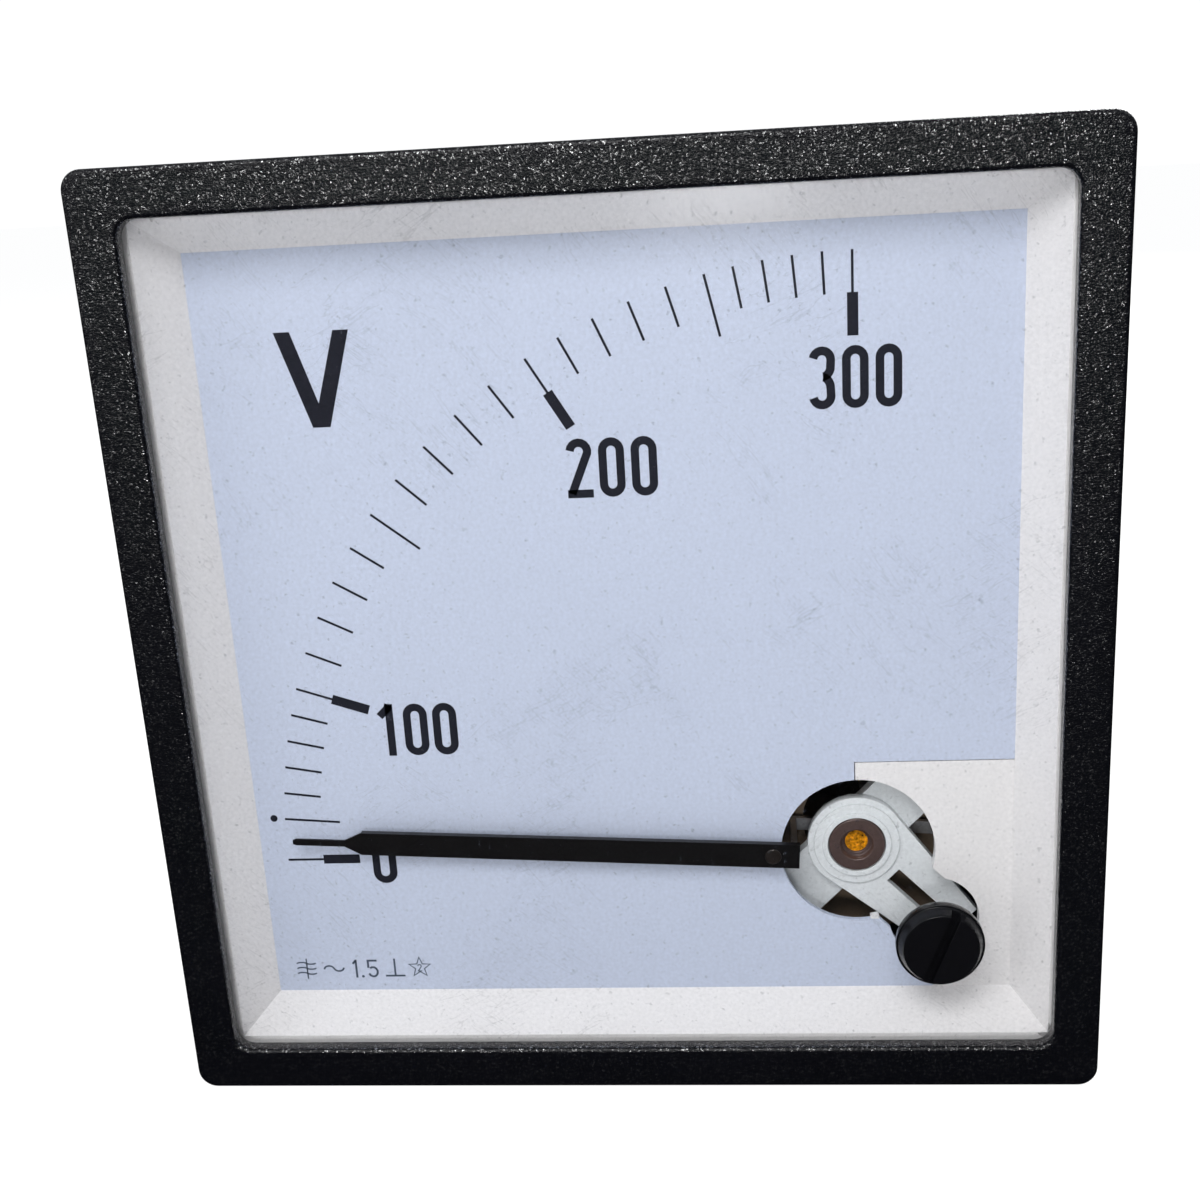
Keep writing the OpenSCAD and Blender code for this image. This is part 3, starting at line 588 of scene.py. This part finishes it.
# %%
def ribbon(bm, path, width, closed=False):
    pts = [Vector(p) for p in path]
    n = len(pts)
    left, right = [], []
    for i, p in enumerate(pts):
        a = pts[i - 1] if (i or closed) else p
        b = pts[(i + 1) % n] if (i < n - 1 or closed) else p
        d1, d2 = (p - a), (b - p)
        d1 = d1.normalized() if d1.length else d2.normalized()
        d2 = d2.normalized() if d2.length else d1
        t = (d1 + d2).normalized()
        k = min(2.0, 1 / max(0.3, t.dot(d1)))
        nrm = Vector((-t.y, t.x)) * width / 2 * k
        left.append(p + nrm)
        right.append(p - nrm)
    mk = lambda q: bm.verts.new((q.x * MM, INK_Y, q.y * MM))
    left, right = [mk(q) for q in left], [mk(q) for q in right]
    for i in range(n if closed else n - 1):
        j = (i + 1) % n
        bm.faces.new((left[i], right[i], right[j], left[j]))


def bow(cx, cz, rx, rz, a0, a1, n=10):
    turns = [math.radians(a0 + (a1 - a0) * i / n) for i in range(n + 1)]
    return [(cx + rx * math.cos(a), cz + rz * math.sin(a)) for a in turns]


def glyph(ch, w, h, s):
    x, z = (w - s) / 2, (h - s) / 2
    if ch == "0":
        return [(bow(0, z - x, x, x, 0, 180) + bow(0, -z + x, x, x, 180, 360), True)]
    if ch == "1":
        top = (x * 0.45, z + s / 2)
        return [([(-x * 0.75, z * 0.62), (x * 0.32, z * 0.98), top], False),
                ([top, (x * 0.45, -z - s / 2)], False)]
    if ch == "2":
        return [(bow(0, z - x, x, x, 175, -35) + [(-x, -z)], False),
                ([(-x - s / 2, -z), (x + s / 2, -z)], False)]
    if ch == "3":
        r = z / 2
        return [(bow(0, z - x, x, x, 170, 0) + bow(x * 0.1, r * 0.95, x * 0.9, r * 0.85, -20, -90), False),
                (bow(x * 0.1, -r * 0.95, x * 0.9, r * 1.0, 90, 20) + bow(0, -z + x, x, x, 0, -170), False)]
    if ch == "5":
        return [([(x, z), (-x, z), (-x, z * 0.1)], False),
                (bow(0, -z + x * 1.15, x, x * 1.15, 130, -160), False)]
    return []


def figures(bm, text, x, z, w, h, s, pitch):
    for i, ch in enumerate(text):
        for path, closed in glyph(ch, w, h, s):
            ribbon(bm, [(x + w / 2 + i * pitch + a, z + h / 2 + b) for a, b in path], s, closed)


def filled(bm, x, z, outline):
    bm.faces.new([bm.verts.new((x + a * MM, INK_Y, z + b * MM)) for a, b in outline])


bm = bmesh.new()
figures(bm, "300", 19.8, 22.35, 2.5, 5.95, 0.82, 3.15)
figures(bm, "200", -4.0, 14.6, 2.55, 5.9, 0.82, 3.2)
figures(bm, "100", -26.0, -12.2, 2.55, 5.75, 0.82, 3.1)
figures(bm, "0", -27.85, -26.93, 2.6, 5.9, 0.82, 3.2)
letter_v = [(-31.83, 32.0), (-30.21, 32.0), (-28.05, 25.0), (-25.91, 32.0), (-24.35, 32.0)]
filled(bm, 0, 0, letter_v + [(-27.13, 22.63), (-28.88, 22.63)])
dot_at, dot_r = math.radians(SCALE[50]), 62.3
dot_x, dot_z = PX + dot_r * math.cos(dot_at) * MM, PZ + dot_r * math.sin(dot_at) * MM
filled(bm, dot_x, dot_z, bow(0, 0, 0.4, 0.4, 0, 345, 15))
fine = bmesh.new()
ribbon(fine, [(-36.6, -36.0), (-36.6, -38.5)], 0.16)
for k in (-1, 0, 1):
    rise_mm = 0.62 * k
    crest = bow(-37.15, -37.25 + rise_mm, 0.55, 0.16, 180, 20, 6)
    trough = bow(-36.1, -37.15 + rise_mm, 0.55, 0.16, 200, 350, 6)
    ribbon(fine, crest + trough, 0.17)
ribbon(fine, bow(-34.1, -37.35, 0.55, 0.42, 180, 20) + bow(-33.0, -37.15, 0.55, 0.42, 200, 360), 0.2)
figures(fine, "1", -31.6, -38.4, 0.85, 2.2, 0.24, 1)
filled(fine, -30.35 * MM, -38.25 * MM, bow(0, 0, 0.16, 0.16, 0, 330, 11))
figures(fine, "5", -29.8, -38.4, 1.25, 2.2, 0.24, 1)
ribbon(fine, [(-27.8, -38.2), (-25.6, -38.2)], 0.22)
ribbon(fine, [(-26.7, -38.2), (-26.7, -36.1)], 0.22)
star = []
for i in range(10):
    r = 0.52 if i % 2 else 1.25
    star.append((-23.9 + r * math.sin(math.radians(i * 36)), -37.2 + r * math.cos(math.radians(i * 36))))
ribbon(fine, star, 0.13, True)
figures(fine, "2", -24.17, -37.7, 0.5, 0.9, 0.12, 1)


def printed(name, bm, ink):
    bmesh.ops.recalc_face_normals(bm, faces=bm.faces)
    for f in bm.faces:
        if f.normal.y > 0:
            f.normal_flip()
    me = bpy.data.meshes.new(name)
    bm.to_mesh(me)
    bm.free()
    obj = bpy.data.objects.new(name, me)
    bpy.context.scene.collection.objects.link(obj)
    return inked(obj, ink)


def inked(obj, ink):
    place(obj, "meter", "dial_white")
    obj.data.materials.clear()
    obj.data.materials.append(MATERIALS[ink])
    return obj


printed("dial_figures", bm, "ink")
printed("dial_symbols", fine, "fine_ink")
for obj in marks:
    inked(obj, "ink")
print("dial printed")

# %% [markdown]
# ## Light, floor and camera
# A plain pale floor and backdrop, and a sky that is dark low down and pale above, so that the black
# frame reflects little. One soft lamp stands high in front, with a weaker one on the left. Two small
# lamps straight ahead give the sheen on the frame and the pane, and one lights the back.


# %%
def stage_plane(name, corners):
    me = bpy.data.meshes.new(name)
    me.from_pydata(corners, [], [(0, 1, 2, 3)])
    obj = bpy.data.objects.new(name, me)
    bpy.context.scene.collection.objects.link(obj)
    m = bpy.data.materials.new(name)
    m.use_nodes = True
    n, l = m.node_tree.nodes, m.node_tree.links
    bsdf = n["Principled BSDF"]
    bsdf.inputs["Base Color"].default_value = (0.7, 0.7, 0.7, 1)
    bsdf.inputs["Roughness"].default_value = 0.9
    # The floor glows evenly white to the camera. To glossy rays it is near black instead, a painted dark
    # reflection in the frame and the pane.
    white, black_in_reflections = n.new("ShaderNodeEmission"), n.new("ShaderNodeBsdfDiffuse")
    white.inputs["Strength"].default_value = 1.4
    black_in_reflections.inputs["Color"].default_value = (0.02, 0.02, 0.022, 1)
    path = n.new("ShaderNodeLightPath")
    share = n.new("ShaderNodeMath")
    share.operation = "MULTIPLY"
    share.inputs[1].default_value = 0.62
    l.new(path.outputs["Is Camera Ray"], share.inputs[0])
    mix, seen = n.new("ShaderNodeMixShader"), n.new("ShaderNodeMixShader")
    l.new(share.outputs[0], mix.inputs[0])
    l.new(bsdf.outputs[0], mix.inputs[1])
    l.new(white.outputs[0], mix.inputs[2])
    l.new(path.outputs["Is Glossy Ray"], seen.inputs[0])
    l.new(mix.outputs[0], seen.inputs[1])
    l.new(black_in_reflections.outputs[0], seen.inputs[2])
    l.new(seen.outputs[0], n["Material Output"].inputs["Surface"])
    obj.data.materials.append(m)
    return obj


z = -48.02 * MM
stage_plane("floor", [(-3, -1.5, z), (3, -1.5, z), (3, 6, z), (-3, 6, z)])

world = bpy.data.worlds.new("sky")
bpy.context.scene.world = world
world.use_nodes = True
n, l = world.node_tree.nodes, world.node_tree.links
sky = n["Background"]
sky.inputs["Color"].default_value = (0.93, 0.965, 1.0, 1)
way, part, rise = n.new("ShaderNodeTexCoord"), n.new("ShaderNodeSeparateXYZ"), n.new("ShaderNodeMapRange")
l.new(way.outputs["Generated"], part.inputs[0])
l.new(part.outputs["Z"], rise.inputs["Value"])
rise.inputs["From Min"].default_value = 0.1
rise.inputs["From Max"].default_value = 0.55
rise.inputs["To Min"].default_value = 0.03
rise.inputs["To Max"].default_value = 0.52
l.new(rise.outputs["Result"], sky.inputs["Strength"])
plain = n.new("ShaderNodeBackground")
plain.inputs["Color"].default_value = (1, 1, 1, 1)
plain.inputs["Strength"].default_value = 1.05
path = n.new("ShaderNodeLightPath")
mix = n.new("ShaderNodeMixShader")
l.new(path.outputs["Is Camera Ray"], mix.inputs[0])
l.new(sky.outputs[0], mix.inputs[1])
l.new(plain.outputs[0], mix.inputs[2])
l.new(mix.outputs[0], n["World Output"].inputs["Surface"])


def soft_lamp(name, where, target, size, power):
    data = bpy.data.lights.new(name, "AREA")
    data.shape = "RECTANGLE"
    data.size, data.size_y = size
    data.energy = power
    obj = bpy.data.objects.new(name, data)
    bpy.context.scene.collection.objects.link(obj)
    obj.location = where
    obj.rotation_mode = "QUATERNION"
    obj.rotation_quaternion = (Vector(target) - Vector(where)).to_track_quat("-Z", "Y")
    return obj


soft_lamp("top lamp", (-0.04, -0.28, 0.27), (0, 0, 0.01), (0.2, 0.14), 0.9)
soft_lamp("fill lamp", (-0.75, -0.6, 0.25), (0, 0, 0), (0.5, 0.5), 1.6)
soft_lamp("window lamp", (-0.005, -0.7, 0.034), (0, 0, 0.04), (0.07, 0.025), 0.1)
soft_lamp("rear lamp", (0.45, 0.8, 0.55), (0, 0.03, 0), (0.5, 0.4), 9.0)
soft_lamp("sheen lamp", (-0.035, -0.7, 0.11), (0, 0, 0.04), (0.16, 0.06), 0.9)

cam_data = bpy.data.cameras.new("camera")
cam_data.sensor_width = 36.0
cam_data.lens = 46.117
cam_data.shift_x = -0.02106
cam_data.shift_y = 0.04305
cam_data.clip_start = 0.01
cam = bpy.data.objects.new("camera", cam_data)
bpy.context.scene.collection.objects.link(cam)
cam.rotation_mode = "QUATERNION"
cam.location = (0.015174, -0.147228, 0.045319)
cam.rotation_quaternion = Quaternion((0.805808, 0.590214, 0.0454004, 0.0161165))
bpy.context.scene.camera = cam
bpy.context.scene.view_settings.view_transform = "Standard"
